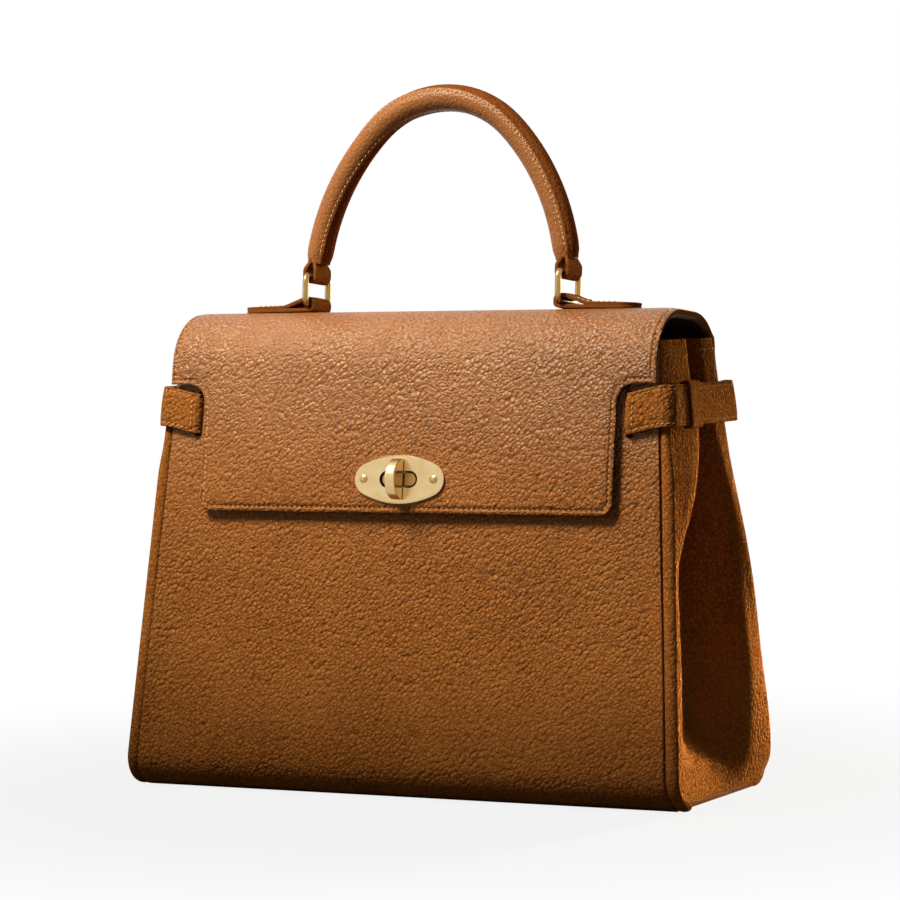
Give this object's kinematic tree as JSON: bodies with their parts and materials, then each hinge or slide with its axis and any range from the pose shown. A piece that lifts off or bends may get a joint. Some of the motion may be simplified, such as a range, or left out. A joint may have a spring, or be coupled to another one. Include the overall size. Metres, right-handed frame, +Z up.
{
  "type": "top handle bag",
  "caption": "Structured leather handbag that tapers to its mouth, with a fold-over flap closed by a turn lock, side straps, piped edges and an arched top handle on rings.",
  "frame": {"origin": "middle of the footprint on the table, under the centre of the bag", "axes": "+Z up through the handle, -Y out of the front with the lock, +X to the viewer's right"},
  "size_m": [0.3104, 0.131, 0.361],
  "materials": {
    "leather": "pebbled, satin",
    "lining": "smooth, matte",
    "hardware": "pale gold, satin polish",
    "board": "matte",
    "core": "plain cord"
  },
  "bodies": {
    "bag_body": {"front_panel": "leather", "back_panel": "leather", "base_panel": "leather", "base_board": "board", "lining_base": "lining", "lining_front": "lining", "lining_back": "lining", "gusset_left": "leather", "gusset_right": "leather", "piping_left": "leather", "piping_right": "leather", "side_strap_left": "leather", "side_strap_right": "leather", "strap_keeper_left": "leather", "strap_keeper_right": "leather", "lock_base": "hardware", "lock_backing": "hardware"},
    "flap": {"flap": "leather", "flap_lining": "lining", "lock_plate": "hardware", "lock_plate_washer": "hardware", "lock_plate_screws": "hardware", "chape_left": "leather", "chape_right": "leather"},
    "turn_knob": {"turn_knob": "hardware"},
    "ring_left": {"ring_left": "hardware"},
    "ring_right": {"ring_right": "hardware"},
    "handle": {"handle_front_leather": "leather", "handle_back_leather": "leather", "handle_core": "core", "handle_tab_left": "leather", "handle_tab_right": "leather"}
  },
  "joints": [
    {"name": "flap_fold", "type": "hinge", "parent": "bag_body", "child": "flap", "pos_m": [0, 0.03396, 0.2317], "axis": [-1, 0, 0], "range_deg": [0, 150]},
    {"name": "lock_turn", "type": "hinge", "parent": "bag_body", "child": "turn_knob", "pos_m": [0, -0.05016, 0.1605], "axis": [0, -0.9896, 0.1436], "range_deg": [0, 90]},
    {"name": "ring_left_swing", "type": "hinge", "parent": "flap", "child": "ring_left", "pos_m": [-0.0725, -0.00261, 0.24838], "axis": [0, 0.996, -0.0896], "range_deg": [-35, 35]},
    {"name": "ring_right_swing", "type": "hinge", "parent": "flap", "child": "ring_right", "pos_m": [0.0725, -0.00261, 0.24838], "axis": [0, 0.996, -0.0896], "range_deg": [-35, 35]},
    {"name": "handle_swing", "type": "hinge", "parent": "ring_left", "child": "handle", "pos_m": [-0.0725, -0.00126, 0.26332], "axis": [0, 0.996, -0.0896], "range_deg": [-35, 35]}
  ],
  "couplings": [
    {"joint": "ring_right_swing", "follows": "ring_left_swing", "ratio": 1},
    {"joint": "handle_swing", "follows": "ring_left_swing", "ratio": -1}
  ]
}
